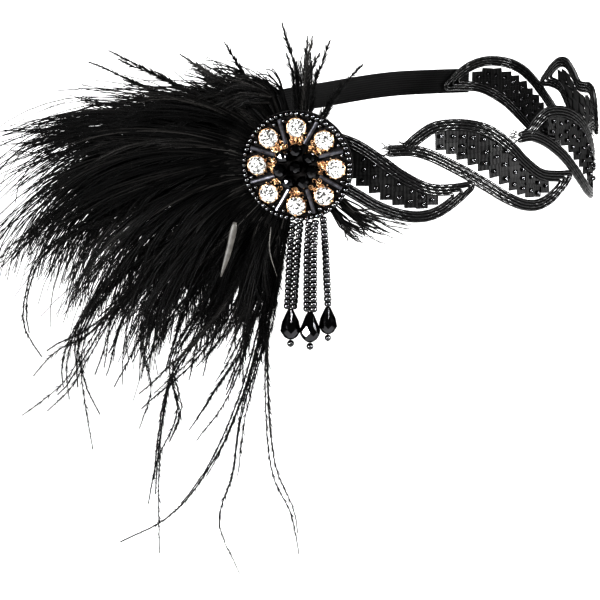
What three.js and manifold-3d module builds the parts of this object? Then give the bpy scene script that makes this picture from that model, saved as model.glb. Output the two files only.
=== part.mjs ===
// Flapper feather headband: corded trim, elastic, round brooch, bead tassels and ostrich plume.
// Millimetres, +Z up. The origin is the middle of the loop, +X is right and -Y is the brooch's side.
import * as THREE from 'three';
import { mergeVertices } from 'three/addons/utils/BufferGeometryUtils.js';
import { TessellateModifier } from 'three/addons/modifiers/TessellateModifier.js';
import Module from 'manifold-3d';

const wasm = await Module();
wasm.setup();

// Driving dimensions
const clearance = 0.3;

const loopWidth = 152;
const loopDepth = 180;

const trimHeight = 43;
const leafLength = 92;
const leafPitch = leafLength * 0.6;
const firstLeafStart = -21;
const bundleWidth = 4.6;
const bundleThickness = 1.8;
const sequinSize = 4.7;
const sequinThickness = 1;
const lowColumnShare = 0.8;
const sequinGap = 0.5;

const elasticWidth = 11.2;
const elasticThickness = 1;
const elasticLift = 9.7;
const elasticLap = 15;

const broochDiameter = 43.4;
const broochLift = 6.3;
const backingThickness = 1.5;
const rimBeadDiameter = 2;
const stoneCount = 8;
const settingDiameter = 8;
const settingHeight = 2;
const stoneDiameter = 7.4;
const stoneHeight = 1.6;
const clawSize = 0.9;
const bugleDiameter = 1.7;
const centreBeadDiameter = 5.4;
const centreRingCount = 7;

const strandDiameter = 2.3;
const strandLength = 35.2;
const dropDiameter = 7.8;
const dropLength = 12.3;
const tipBeadDiameter = 2.8;

const plumeReach = 117.5;
const plumeRootDiameter = 25;
const plumeRootThickness = 2.8;
const plumeThickness = 18;
const wispDiameter = 2;

// The loop in plan, anticlockwise from the brooch: shares of half the width, half the depth and the
// trim's height
const loopPlan = [
  { side: -0.63, depth: -0.85, rise: -0.03 },
  { side: -0.13, depth: -0.90, rise: 0.02 },
  { side: 0.16, depth: -0.81, rise: 0 },
  { side: 0.53, depth: -0.66, rise: 0.05 },
  { side: 0.98, depth: -0.17, rise: -0.07 },
  { side: 0.89, depth: 0.59, rise: 0.12 },
  { side: 0.56, depth: 0.96, rise: -0.03 },
  { side: -0.02, depth: 0.72, rise: 0.03 },
  { side: -0.61, depth: 0.45, rise: -0.02 },
  { side: -0.81, depth: 0.17, rise: 0 },
  { side: -0.95, depth: -0.12, rise: -0.02 },
  { side: -0.90, depth: -0.76, rise: -0.04 },
];

// The middle lines of a leaf's two cord bundles: shares of its length and of the bundles' rise
const leafUpper = [
  { along: 0.076, up: 0.57 },
  { along: 0.125, up: 0.76 },
  { along: 0.20, up: 0.96 },
  { along: 0.33, up: 0.97 },
  { along: 0.45, up: 0.76 },
  { along: 0.56, up: 0.36 },
  { along: 0.66, up: -0.05 },
  { along: 0.77, up: -0.34 },
  { along: 0.88, up: -0.40 },
  { along: 0.975, up: -0.40 },
];
const leafLower = [
  { along: 0, up: 0.52 },
  { along: 0.10, up: 0.49 },
  { along: 0.20, up: 0.35 },
  { along: 0.33, up: 0.03 },
  { along: 0.45, up: -0.38 },
  { along: 0.56, up: -0.75 },
  { along: 0.66, up: -0.96 },
  { along: 0.75, up: -1 },
  { along: 0.84, up: -0.87 },
  { along: 0.92, up: -0.62 },
  { along: 0.975, up: -0.40 },
];

// The leaf at the right-hand bend, where the trim turns over: it arches up at both ends
const bendUpper = [
  { along: 0.076, up: 0.57 },
  { along: 0.125, up: 0.76 },
  { along: 0.20, up: 0.96 },
  { along: 0.33, up: 1 },
  { along: 0.44, up: 0.86 },
  { along: 0.53, up: 0.76 },
  { along: 0.62, up: 0.88 },
  { along: 0.72, up: 1 },
  { along: 0.81, up: 0.93 },
  { along: 0.88, up: 0.76 },
  { along: 0.94, up: 0.54 },
  { along: 0.975, up: 0.40 },
];
const bendLower = [
  { along: 0, up: 0.52 },
  { along: 0.10, up: 0.49 },
  { along: 0.20, up: 0.35 },
  { along: 0.33, up: 0.03 },
  { along: 0.42, up: -0.25 },
  { along: 0.49, up: -0.39 },
  { along: 0.56, up: -0.34 },
  { along: 0.66, up: 0.05 },
  { along: 0.77, up: 0.34 },
  { along: 0.88, up: 0.40 },
  { along: 0.975, up: 0.40 },
];

// The trim's leaves in order: a turned leaf has its pattern upside down and its back outside, and the
// first one is drawn in by the brooch's stitches
const leaves = [
  { upper: leafUpper, lower: leafLower, tall: 0.88, turned: false, sequinsHangFrom: 'upper' },
  { upper: leafUpper, lower: leafLower, tall: 1, turned: false, sequinsHangFrom: 'upper' },
  { upper: leafUpper, lower: leafLower, tall: 1, turned: false, sequinsHangFrom: 'upper' },
  { upper: bendUpper, lower: bendLower, tall: 1, turned: false, sequinsHangFrom: 'lower' },
  { upper: leafUpper, lower: leafLower, tall: 1, turned: true, sequinsHangFrom: 'upper' },
];
const firstSequin = 0.21;
const lastSequin = 0.84;

// The tassels: each drop's place beside the brooch's middle and outward, in shares of the brooch's
// radius, its size and fall as shares of the main drop's, and where its strings leave the rim
const tassels = [
  { drop: -0.098, out: 0, size: 1, fall: 1, strings: [-0.072, 0.064] },
  { drop: 0.274, out: 0.06, size: 1, fall: 1.005, strings: [0.222, 0.342] },
  { drop: 0.562, out: -0.15, size: 0.9, fall: 0.985, strings: [0.48] },
];

// The plume's broad locks: tip beside, above and outward from the brooch's middle, sideways bow, and
// width, all shares of the plume's reach
const plumeLocks = [
  { x: -0.28, y: 0.24, out: 0.04, bow: 0.04, width: 0.10 },
  { x: -0.44, y: 0.26, out: -0.14, bow: 0.05, width: 0.12 },
  { x: -0.60, y: 0.22, out: 0.10, bow: 0.06, width: 0.12 },
  { x: -0.78, y: 0.18, out: -0.10, bow: 0.06, width: 0.13 },
  { x: -0.93, y: 0.10, out: 0.06, bow: 0.06, width: 0.13 },
  { x: -1.00, y: 0.01, out: -0.22, bow: 0.05, width: 0.13 },
  { x: -1.03, y: -0.09, out: 0.02, bow: 0.05, width: 0.14 },
  { x: -1.02, y: -0.19, out: -0.16, bow: 0.06, width: 0.14 },
  { x: -0.99, y: -0.29, out: 0.10, bow: 0.05, width: 0.14 },
  { x: -0.96, y: -0.38, out: -0.10, bow: 0.06, width: 0.12 },
  { x: -0.86, y: -0.44, out: -0.24, bow: 0.05, width: 0.14 },
  { x: -0.73, y: -0.49, out: 0.00, bow: 0.05, width: 0.14 },
  { x: -0.60, y: -0.55, out: -0.14, bow: 0.04, width: 0.14 },
  { x: -0.49, y: -0.60, out: 0.02, bow: 0.03, width: 0.13 },
  { x: -0.38, y: -0.58, out: -0.18, bow: 0.02, width: 0.12 },
  { x: -0.27, y: -0.54, out: -0.06, bow: 0.02, width: 0.11 },
  { x: -0.15, y: -0.49, out: 0.03, bow: 0.01, width: 0.09 },
  { x: 0.02, y: 0.39, out: 0.00, bow: 0.02, width: 0.05 },
  { x: -0.11, y: 0.30, out: -0.04, bow: -0.02, width: 0.06 },
  { x: 0.26, y: -0.19, out: 0.04, bow: 0.02, width: 0.04 },
];

// The plume's long thin wisps: the points beside and above the brooch's middle that each one passes,
// its tip last, and how far outward the tip lies, in the same shares
const plumeWisps = [
  { out: 0.05, through: [[-0.13, -0.58], [-0.19, -0.81], [-0.31, -1.09], [-0.47, -1.30], [-0.63, -1.39]] },
  { out: 0.00, through: [[-0.13, -0.61], [-0.21, -0.89], [-0.24, -1.11], [-0.29, -1.30], [-0.22, -1.48]] },
  { out: 0.03, through: [[-0.11, -0.58], [-0.11, -0.86], [-0.08, -1.10], [-0.02, -1.22], [0.01, -1.37]] },
  { out: -0.06, through: [[-0.26, -0.48], [-0.45, -0.76], [-0.50, -1.01], [-0.52, -1.25], [-0.53, -1.45]] },
  { out: 0.05, through: [[-0.29, -0.45], [-0.45, -0.72], [-0.42, -0.88], [-0.49, -1.07], [-0.52, -1.23]] },
  { out: 0.04, through: [[-0.14, -0.47], [-0.22, -0.67], [-0.31, -0.82], [-0.38, -0.94]] },
  { out: -0.02, through: [[-0.13, -0.47], [-0.19, -0.66], [-0.27, -0.86], [-0.38, -1.01]] },
  { out: 0.06, through: [[-0.24, -0.48], [-0.39, -0.68], [-0.54, -0.83]] },
  { out: -0.08, through: [[-0.21, -0.50], [-0.37, -0.73], [-0.56, -0.92]] },
  { out: -0.05, through: [[-0.71, -0.24], [-0.90, -0.36], [-0.97, -0.61], [-0.91, -0.74]] },
  { out: 0.06, through: [[-0.59, -0.36], [-0.77, -0.58], [-0.83, -0.73], [-0.82, -0.86]] },
  { out: -0.10, through: [[-0.56, -0.39], [-0.76, -0.70], [-0.87, -0.86], [-1.03, -1.00]] },
  { out: 0.00, through: [[-0.52, -0.43], [-0.76, -0.64], [-0.87, -0.70], [-0.95, -0.79]] },
  { out: 0.03, through: [[-0.59, -0.39], [-0.77, -0.65], [-0.78, -0.83], [-0.75, -1.04]] },
  { out: -0.04, through: [[-0.61, -0.40], [-0.78, -0.62], [-0.77, -0.83], [-0.73, -0.94]] },
  { out: 0.02, through: [[-0.38, -0.38], [-0.55, -0.61], [-0.52, -0.80], [-0.56, -0.95]] },
  { out: 0.04, through: [[-0.38, -0.42], [-0.51, -0.58], [-0.62, -0.80]] },
  { out: -0.05, through: [[-0.51, -0.08], [-0.84, -0.21], [-1.07, -0.37]] },
  { out: -0.05, through: [[-0.45, 0.21], [-0.73, 0.30]] },
  { out: 0.06, through: [[-0.40, 0.25], [-0.62, 0.36]] },
  { out: -0.06, through: [[-0.25, 0.24], [-0.41, 0.33]] },
  { out: 0.03, through: [[-0.17, 0.26], [-0.24, 0.40]] },
  { out: 0.02, through: [[-0.01, 0.30], [-0.05, 0.46]] },
  { out: 0.05, through: [[0.03, 0.28], [0.05, 0.44]] },
  { out: -0.02, through: [[0.05, 0.27], [0.09, 0.41]] },
  { out: -0.06, through: [[0.12, 0.23], [0.20, 0.33]] },
];

// Materials
const satinCord = new THREE.MeshStandardMaterial({ color: 0x1a1a1c, roughness: 0.55 });
const darkSequin = new THREE.MeshStandardMaterial({ color: 0x222225, roughness: 0.35 });
const blackElastic = new THREE.MeshStandardMaterial({ color: 0x0d0d0e, roughness: 0.85 });
const blackFelt = new THREE.MeshStandardMaterial({ color: 0x121213, roughness: 0.95 });
const jetBead = new THREE.MeshStandardMaterial({ color: 0x08080a, roughness: 0.1 });
const hematite = new THREE.MeshStandardMaterial({ color: 0x4a4650, roughness: 0.25, metalness: 0.7 });
const rhinestone = new THREE.MeshStandardMaterial({ color: 0xe8eef2, roughness: 0.05 });
const ostrich = new THREE.MeshStandardMaterial({ color: 0x100e0d, roughness: 0.8 });

const headband = new THREE.Group();

function addPiece(parent, name, geometry, material) {
  const piece = new THREE.Mesh(geometry, material);
  piece.name = name;
  parent.add(piece);
  return piece;
}

// Joining and cutting
function toSolid(geometry) {
  const bare = geometry.clone();
  bare.deleteAttribute('normal');
  bare.deleteAttribute('uv');
  const welded = mergeVertices(bare, 1e-4);
  return new wasm.Manifold(new wasm.Mesh({
    numProp: 3,
    vertProperties: new Float32Array(welded.attributes.position.array),
    triVerts: new Uint32Array(welded.index.array),
  }));
}

function toGeometry(solid) {
  const mesh = solid.getMesh();
  const geometry = new THREE.BufferGeometry();
  geometry.setAttribute('position', new THREE.BufferAttribute(mesh.vertProperties, 3));
  geometry.setIndex(new THREE.BufferAttribute(mesh.triVerts, 1));
  return geometry;
}

function fuse(geometries) {
  return geometries.map(toSolid).reduce((joined, solid) => joined.add(solid));
}

// The loop: a closed spline through the plan's points, measured along its length from the brooch
const loopCurve = new THREE.CatmullRomCurve3(
  loopPlan.map(({ side, depth, rise }) => new THREE.Vector3(
    side * loopWidth / 2, depth * loopDepth / 2, rise * trimHeight)),
  true, 'catmullrom', 0.5);
loopCurve.arcLengthDivisions = 1200;
const loopLength = loopCurve.getLength();

function loopAngle(along) {
  const share = THREE.MathUtils.euclideanModulo(along / loopLength, 1);
  const tangent = loopCurve.getTangentAt(share);
  return Math.atan2(tangent.y, tangent.x);
}

// A flat point (along the loop, up, outward) moved to its place on the loop
function bendPoint(point) {
  const share = THREE.MathUtils.euclideanModulo(point.x / loopLength, 1);
  const angle = loopAngle(point.x);
  const place = loopCurve.getPointAt(share);
  return new THREE.Vector3(
    place.x + Math.sin(angle) * point.z,
    place.y - Math.cos(angle) * point.z,
    place.z + point.y);
}

function mapPoints(geometry, move) {
  const position = geometry.attributes.position;
  const point = new THREE.Vector3();
  for (let i = 0; i < position.count; i += 1) {
    point.fromBufferAttribute(position, i);
    const moved = move(point);
    position.setXYZ(i, moved.x, moved.y, moved.z);
  }
  return geometry;
}

// Trim leaves, drawn flat: x along the trim, y up, z outward
const bundleRise = (trimHeight - bundleWidth) / 2;

function bundleCurve(table, tall, start) {
  return new THREE.CatmullRomCurve3(table.map(({ along, up }) => new THREE.Vector3(
    start + along * leafLength, up * tall * bundleRise, 0)));
}

// A bundle's section: flat at the back, its front corners rounded off
function bundleSection(grow) {
  const halfWidth = bundleWidth / 2 + grow;
  const halfThickness = bundleThickness / 2 + grow;
  const crownShare = 0.6;
  const shoulderShare = 0.4;
  const crown = halfWidth * crownShare;
  const shoulder = halfThickness * shoulderShare;
  return new THREE.Shape([
    new THREE.Vector2(-halfThickness, -crown),
    new THREE.Vector2(-shoulder, -halfWidth),
    new THREE.Vector2(halfThickness, -halfWidth),
    new THREE.Vector2(halfThickness, halfWidth),
    new THREE.Vector2(-shoulder, halfWidth),
    new THREE.Vector2(-halfThickness, crown),
  ]);
}

function sweepBundle(curve, grow) {
  const stepLength = 5.2;
  return new THREE.ExtrudeGeometry(bundleSection(grow), {
    steps: Math.round(curve.getLength() / stepLength),
    extrudePath: curve,
    bevelEnabled: false,
  });
}

function leafFrame(leaf, start, grow) {
  const tall = leaf.turned ? -leaf.tall : leaf.tall;
  const upper = bundleCurve(leaf.upper, tall, start);
  const lower = bundleCurve(leaf.lower, tall, start);
  const tipSides = 12;
  const tip = new THREE.CylinderGeometry(
    bundleWidth / 2 + grow, bundleWidth / 2 + grow, bundleThickness + 2 * grow, tipSides);
  tip.rotateX(Math.PI / 2);
  const end = upper.getPoint(1);
  tip.translate(end.x, end.y, end.z);
  return fuse([sweepBundle(upper, grow), sweepBundle(lower, grow), tip]);
}

// The height of a bundle's middle line and its slanted half width at one place along the trim
function bundleAt(table, tall, along) {
  const curve = bundleCurve(table, tall, 0);
  const points = curve.getSpacedPoints(120);
  const next = points.findIndex((point) => point.x > along);
  const before = points[next - 1];
  const after = points[next];
  const share = (along - before.x) / (after.x - before.x);
  const slope = (after.y - before.y) / (after.x - before.x);
  return {
    middle: before.y + share * (after.y - before.y),
    reach: Math.hypot(1, slope) * bundleWidth / 2 + clearance,
  };
}

// Columns of square sequins, each second one standing a little proud: one end follows its bundle, the
// other is cut square
function sequinField(leaf) {
  const hangs = leaf.sequinsHangFrom === 'upper';
  const count = Math.floor((lastSequin - firstSequin) * leafLength / sequinSize);
  const columns = Array.from({ length: count }, (_, column) => {
    const left = firstSequin * leafLength + column * sequinSize;
    const right = left + sequinSize;
    const ends = [left, right].map((along) => {
      const upper = bundleAt(leaf.upper, leaf.tall, along);
      const lower = bundleAt(leaf.lower, leaf.tall, along);
      return { top: upper.middle - upper.reach, bottom: lower.middle + lower.reach };
    });
    const square = hangs
      ? Math.max(ends[0].bottom, ends[1].bottom) + sequinGap
      : Math.min(ends[0].top, ends[1].top) - sequinGap;
    const [nearLeft, nearRight] = ends.map(({ top, bottom }) => (hangs ? top : bottom));
    const depth = sequinThickness * (column % 2 === 0 ? 1 : lowColumnShare);
    const strip = new THREE.ExtrudeGeometry(new THREE.Shape([
      new THREE.Vector2(left, nearLeft),
      new THREE.Vector2(right, nearRight),
      new THREE.Vector2(right, square),
      new THREE.Vector2(left, square),
    ]), { depth, bevelEnabled: false });
    return strip.translate(0, 0, -depth / 2);
  });
  return toGeometry(fuse(columns));
}

function bendPiece(geometry) {
  const longestEdge = 9;
  const loose = geometry.index ? geometry.toNonIndexed() : geometry;
  const fine = new TessellateModifier(longestEdge, 12).modify(loose);
  fine.deleteAttribute('normal');
  fine.deleteAttribute('uv');
  return mapPoints(mergeVertices(fine, 1e-4), bendPoint);
}

function makeTrim() {
  leaves.forEach((leaf, index) => {
    const start = firstLeafStart + index * leafPitch;
    let frame = leafFrame(leaf, start, 0);
    if (index > 0) {
      frame = frame.subtract(leafFrame(leaves[index - 1], start - leafPitch, clearance));
    }
    addPiece(headband, `lace_leaf_${index + 1}`, bendPiece(toGeometry(frame)), satinCord);
    const field = sequinField(leaf);
    if (leaf.turned) field.rotateX(Math.PI);
    field.translate(start, 0, 0);
    addPiece(headband, `lace_fill_${index + 1}`, mapPoints(field, bendPoint), darkSequin);
  });
}

// The elastic laps outside the last leaf's tip and inside the first leaf, behind the brooch
function makeElastic() {
  const trimEnd = firstLeafStart + (leaves.length - 1) * leafPitch + leafLength;
  const from = trimEnd - elasticLap;
  const to = loopLength + elasticLap;
  const segmentLength = 5;
  const segments = Math.round((to - from) / segmentLength);
  const band = new THREE.BoxGeometry(to - from, elasticWidth, elasticThickness, segments, 1, 1);
  const standOff = (bundleThickness + elasticThickness) / 2 + clearance;
  band.translate((from + to) / 2, elasticLift, 0);
  mapPoints(band, (point) => {
    const free = THREE.MathUtils.inverseLerp(trimEnd, loopLength + firstLeafStart, point.x);
    const inward = THREE.MathUtils.clamp(free, 0, 1);
    return new THREE.Vector3(point.x, point.y, point.z + standOff * (1 - 2 * inward));
  });
  band.deleteAttribute('normal');
  band.deleteAttribute('uv');
  addPiece(headband, 'elastic_band', mapPoints(mergeVertices(band, 1e-4), bendPoint), blackElastic);
}

// The brooch's own frame: x right, y up, z outward from the trim's middle surface
const broochFrame = new THREE.Group();
broochFrame.position.copy(bendPoint(new THREE.Vector3(0, broochLift, 0)));
broochFrame.rotation.z = loopAngle(0);
headband.add(broochFrame);
const brooch = new THREE.Group();
brooch.rotation.x = Math.PI / 2;
broochFrame.add(brooch);

const broochRadius = broochDiameter / 2;

// How far the loop bulges out past the brooch's plane, behind the brooch
function loopBulge() {
  const samples = 24;
  const angle = loopAngle(0);
  let bulge = 0;
  for (let i = 0; i <= samples; i += 1) {
    const place = bendPoint(new THREE.Vector3(broochRadius * (2 * i / samples - 1), broochLift, 0));
    place.sub(broochFrame.position);
    bulge = Math.max(bulge, place.x * Math.sin(angle) - place.y * Math.cos(angle));
  }
  return bulge;
}

const rootBack = loopBulge() + bundleThickness / 2 + clearance;
const backingBack = rootBack + plumeRootThickness + clearance;
const broochFace = backingBack + backingThickness + clearance;
const rimInside = broochRadius - rimBeadDiameter - clearance;
const stoneRing = rimInside - settingDiameter / 2;
const centreRing = (centreBeadDiameter + clearance) / (2 * Math.sin(Math.PI / centreRingCount));
const bugleStart = centreRing + centreBeadDiameter / 2 + clearance;

function makeBacking() {
  const disc = new THREE.CylinderGeometry(broochRadius, broochRadius, backingThickness, 36);
  disc.rotateX(Math.PI / 2);
  const backing = addPiece(brooch, 'brooch_backing', disc, blackFelt);
  backing.position.z = backingBack + backingThickness / 2;
  const ring = new THREE.TorusGeometry(
    broochRadius - rimBeadDiameter / 2, rimBeadDiameter / 2, 6, 32);
  const rim = addPiece(brooch, 'brooch_rim', ring, jetBead);
  rim.position.z = broochFace + rimBeadDiameter / 2;
}

// A solid of revolution from a table of shares of its radius and height
function turnedSolid(outline, radius, height, sides) {
  return new THREE.LatheGeometry(outline.map(({ across, up }) => new THREE.Vector2(
    across * radius, up * height)), sides);
}

// A cut stone in its cup, with a table, crown facets and four claws
const stoneOutline = [
  { across: 0, up: 0 },
  { across: 0.9, up: 0 },
  { across: 1, up: 0.53 },
  { across: 0.58, up: 1 },
  { across: 0, up: 1 },
];
const stoneSides = 8;
const clawCount = 4;
const cupFootShare = 0.76;
const clawInset = 0.1;
const clawRise = 0.8;

function stoneGeometry() {
  const cupRadius = settingDiameter / 2;
  const cup = new THREE.CylinderGeometry(cupRadius, cupRadius * cupFootShare, settingHeight, 12);
  cup.translate(0, settingHeight / 2, 0);
  const seat = settingHeight / 2;
  const stone = turnedSolid(stoneOutline, stoneDiameter / 2, seat + stoneHeight, stoneSides);
  stone.translate(0, seat, 0);
  const claws = Array.from({ length: clawCount }, (_, i) => {
    const claw = new THREE.BoxGeometry(clawSize, settingHeight, clawSize);
    claw.translate(cupRadius - clawSize * (0.5 + clawInset), settingHeight * clawRise, 0);
    return claw.rotateY((i + 0.5) * 2 * Math.PI / clawCount);
  });
  const geometry = toGeometry(fuse([cup, stone, ...claws]));
  return geometry.rotateX(Math.PI / 2);
}

const beadOutline = [
  { across: 0, up: -1 },
  { across: 0.62, up: -0.8 },
  { across: 1, up: -0.25 },
  { across: 1, up: 0.25 },
  { across: 0.62, up: 0.8 },
  { across: 0, up: 1 },
];

function makeBroochFace() {
  for (let i = 0; i < stoneCount; i += 1) {
    const turn = i * 2 * Math.PI / stoneCount;
    const stone = addPiece(brooch, `rhinestone_${i + 1}`, stoneGeometry(), rhinestone);
    stone.position.set(Math.sin(turn) * stoneRing, Math.cos(turn) * stoneRing, broochFace);
    stone.rotation.z = -turn;

    const between = turn + Math.PI / stoneCount;
    const length = rimInside - bugleStart;
    const tube = new THREE.CylinderGeometry(bugleDiameter / 2, bugleDiameter / 2, length, 10);
    const bugle = addPiece(brooch, `bugle_bead_${i + 1}`, tube, hematite);
    const middle = (bugleStart + rimInside) / 2;
    bugle.position.set(
      Math.sin(between) * middle, Math.cos(between) * middle, broochFace + bugleDiameter / 2);
    bugle.rotation.z = -between;
  }
  for (let i = 0; i <= centreRingCount; i += 1) {
    const turn = i * 2 * Math.PI / centreRingCount;
    const ring = i === centreRingCount ? 0 : centreRing;
    const bead = turnedSolid(beadOutline, centreBeadDiameter / 2, centreBeadDiameter / 2, 10);
    const piece = addPiece(brooch, `centre_bead_${i + 1}`, bead, jetBead);
    piece.position.set(
      Math.sin(turn) * ring, Math.cos(turn) * ring, broochFace + centreBeadDiameter / 2);
    piece.rotation.z = -turn;
  }
}

// A teardrop hung from its narrow flat top, with a flat row round its belly
const dropOutline = [
  { across: 0, up: -1 },
  { across: 0.5, up: -0.94 },
  { across: 0.92, up: -0.76 },
  { across: 1, up: -0.62 },
  { across: 0.78, up: -0.36 },
  { across: 0.42, up: -0.1 },
  { across: 0.3, up: 0 },
  { across: 0, up: 0 },
];

function roundSection(radius, sides) {
  return new THREE.Shape(Array.from({ length: sides }, (_, i) => new THREE.Vector2(
    radius * Math.cos(2 * Math.PI * i / sides), radius * Math.sin(2 * Math.PI * i / sides))));
}

// Each tassel: one or two bead strings from the rim to a faceted drop, and a round bead below it
function makeTassels() {
  const stringRing = broochRadius + clearance;
  const dropTop = -broochRadius - strandLength;
  let strandNumber = 0;
  tassels.forEach(({ drop, out, size, fall, strings }, index) => {
    const x = drop * broochRadius;
    const depth = broochFace + (dropDiameter - strandDiameter) / 2 + out * broochRadius;
    const hook = dropTop * fall;
    const length = dropLength * size;
    strings.forEach((string, i) => {
      strandNumber += 1;
      const spread = (i - (strings.length - 1) / 2) * (strandDiameter + clearance);
      const start = string * broochRadius;
      const startY = -Math.sqrt(stringRing ** 2 - start ** 2);
      const endX = x + spread;
      const endY = hook + clearance;
      const top = new THREE.Vector3(start, startY, depth);
      const end = new THREE.Vector3(endX, endY, depth);
      const route = new THREE.CatmullRomCurve3([
        new THREE.Vector3(start, startY, broochFace + strandDiameter / 2),
        top.clone().lerp(end, 1 / 3),
        top.clone().lerp(end, 2 / 3),
        end,
      ]);
      const tube = new THREE.ExtrudeGeometry(roundSection(strandDiameter / 2, 8), {
        steps: 10, extrudePath: route, bevelEnabled: false,
      });
      addPiece(brooch, `tassel_strand_${strandNumber}`, tube, jetBead);
    });
    const teardrop = turnedSolid(dropOutline, dropDiameter * size / 2, length, 10);
    const dropPiece = addPiece(brooch, `drop_bead_${index + 1}`, teardrop, jetBead);
    dropPiece.position.set(x, hook, depth);
    const round = new THREE.SphereGeometry(tipBeadDiameter * size / 2, 10, 6);
    const tip = addPiece(brooch, `tip_bead_${index + 1}`, round, jetBead);
    tip.position.set(x, hook - length - clearance - tipBeadDiameter * size / 2, depth);
  });
}

const startShare = 0.2;
const leaveShare = 1.3;
const spreadShare = 3;
const rootThinning = 0.6;
const tipShare = 0.08;
const broadLock = 0.14;
const rootMiddle = rootBack + plumeRootThickness / 2;

// Where a lock starts in the root, and where it comes out from behind the brooch
function rootEnd(towards) {
  const way = new THREE.Vector3(towards.x, towards.y, 0);
  return {
    start: way.clone().setLength(plumeRootDiameter * startShare).setZ(rootMiddle),
    leave: way.clone().setLength(broochRadius * leaveShare).setZ(rootMiddle),
  };
}

function lockPath({ x, y, out, bow }) {
  const tip = new THREE.Vector3(x, y, out).multiplyScalar(plumeReach);
  tip.z += rootMiddle;
  const { start, leave } = rootEnd(tip);
  const side = new THREE.Vector3(tip.y - leave.y, leave.x - tip.x, 0).normalize();
  const late = leave.clone().lerp(tip, 0.5).addScaledVector(side, bow * plumeReach).setZ(rootMiddle);
  return new THREE.CubicBezierCurve3(start, leave, late, tip);
}

function wispPath({ out, through }) {
  const points = through.map(([x, y], i) => new THREE.Vector3(
    x, y, out * ((i + 1) / through.length) ** 2).multiplyScalar(plumeReach));
  points.forEach((point) => { point.z += rootMiddle; });
  const { start, leave } = rootEnd(points[0]);
  return new THREE.CatmullRomCurve3([start, leave, ...points]);
}

// A tapered lock along its path, thin and narrow while it lies behind the brooch
function plumeLock(path, width, thickness, sides, rows) {
  const length = path.getLength();
  const rootThickness = Math.min(plumeRootThickness * rootThinning, thickness);
  const rootWidth = Math.min(plumeRootDiameter / 3, width);
  const geometry = new THREE.CylinderGeometry(1, 1, 1, sides, rows);
  return mapPoints(geometry, (point) => {
    const share = point.y + 0.5;
    const tangent = path.getTangentAt(share);
    const across = new THREE.Vector3().crossVectors(tangent, new THREE.Vector3(0, 0, 1)).normalize();
    const outward = new THREE.Vector3().crossVectors(across, tangent);
    const clearOfBrooch = THREE.MathUtils.smoothstep(
      share * length, broochRadius, broochRadius * spreadShare);
    const taper = Math.max(1 - share ** 3, tipShare);
    const halfWidth = taper * THREE.MathUtils.lerp(rootWidth, width, clearOfBrooch) / 2;
    const halfThickness = taper * THREE.MathUtils.lerp(rootThickness, thickness, clearOfBrooch) / 2;
    return path.getPointAt(share)
      .addScaledVector(across, point.x * halfWidth)
      .addScaledVector(outward, point.z * halfThickness);
  });
}

function makePlume() {
  const root = new THREE.CylinderGeometry(
    plumeRootDiameter / 2, plumeRootDiameter / 2, plumeRootThickness, 16);
  root.rotateX(Math.PI / 2);
  root.translate(0, 0, rootMiddle);
  const locks = plumeLocks.map((lock) => plumeLock(
    lockPath(lock), lock.width * plumeReach, plumeThickness * lock.width / broadLock, 5, 6));
  const wisps = plumeWisps.map((wisp) => plumeLock(
    wispPath(wisp), wispDiameter, wispDiameter, 3, 2 + 2 * wisp.through.length));
  const plume = toGeometry(fuse([root, ...locks, ...wisps]));
  addPiece(brooch, 'feather_plume', plume, ostrich);
}

makeTrim();
makeElastic();
makeBacking();
makeBroochFace();
makeTassels();
makePlume();

export default headband;
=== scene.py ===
import math
import random

import bmesh
import bpy
import numpy as np
from mathutils import Matrix, Vector


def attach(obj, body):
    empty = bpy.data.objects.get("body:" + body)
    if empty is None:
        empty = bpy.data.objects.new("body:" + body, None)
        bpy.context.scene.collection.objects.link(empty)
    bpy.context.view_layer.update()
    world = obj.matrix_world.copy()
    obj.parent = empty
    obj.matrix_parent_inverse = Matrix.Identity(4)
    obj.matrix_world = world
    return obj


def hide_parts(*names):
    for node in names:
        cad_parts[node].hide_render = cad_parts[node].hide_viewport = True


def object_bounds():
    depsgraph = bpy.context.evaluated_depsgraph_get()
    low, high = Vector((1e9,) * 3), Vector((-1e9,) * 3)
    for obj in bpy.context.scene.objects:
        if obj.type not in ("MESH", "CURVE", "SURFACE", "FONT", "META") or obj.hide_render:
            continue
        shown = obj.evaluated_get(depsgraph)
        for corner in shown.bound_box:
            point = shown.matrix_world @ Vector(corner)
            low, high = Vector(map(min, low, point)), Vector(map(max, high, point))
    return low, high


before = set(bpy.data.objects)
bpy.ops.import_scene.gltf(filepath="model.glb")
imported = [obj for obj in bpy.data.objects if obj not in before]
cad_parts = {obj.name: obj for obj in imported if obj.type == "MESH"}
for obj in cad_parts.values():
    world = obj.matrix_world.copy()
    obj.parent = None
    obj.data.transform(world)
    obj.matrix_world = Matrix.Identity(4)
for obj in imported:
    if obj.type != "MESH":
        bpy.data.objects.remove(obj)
cadBox = [list(corner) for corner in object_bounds()]
mm = 0.001
fullTurn = 2 * math.pi
print("frame loaded:", len(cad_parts), "solids")

camera = {"place": (-48.43, -837.7, 169.0), "pitch": 16.12, "lens": 119.7, "sensor": 36.0}


def addCamera():
    lens = bpy.data.cameras.new("camera")
    lens.lens, lens.sensor_width = camera["lens"], camera["sensor"]
    lens.clip_start, lens.clip_end = 0.01, 100
    stand = bpy.data.objects.new("camera", lens)
    stand.location = Vector(camera["place"]) * mm
    stand.rotation_euler = (math.radians(90 - camera["pitch"]), 0, 0)
    bpy.context.scene.collection.objects.link(stand)
    bpy.context.scene.camera = stand


addCamera()
print("camera placed")


def newPiece(name, mesh, material, nodes):
    piece = bpy.data.objects.new(name, mesh)
    bpy.context.scene.collection.objects.link(piece)
    mesh.materials.append(material)
    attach(piece, "root")
    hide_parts(*nodes)


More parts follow.
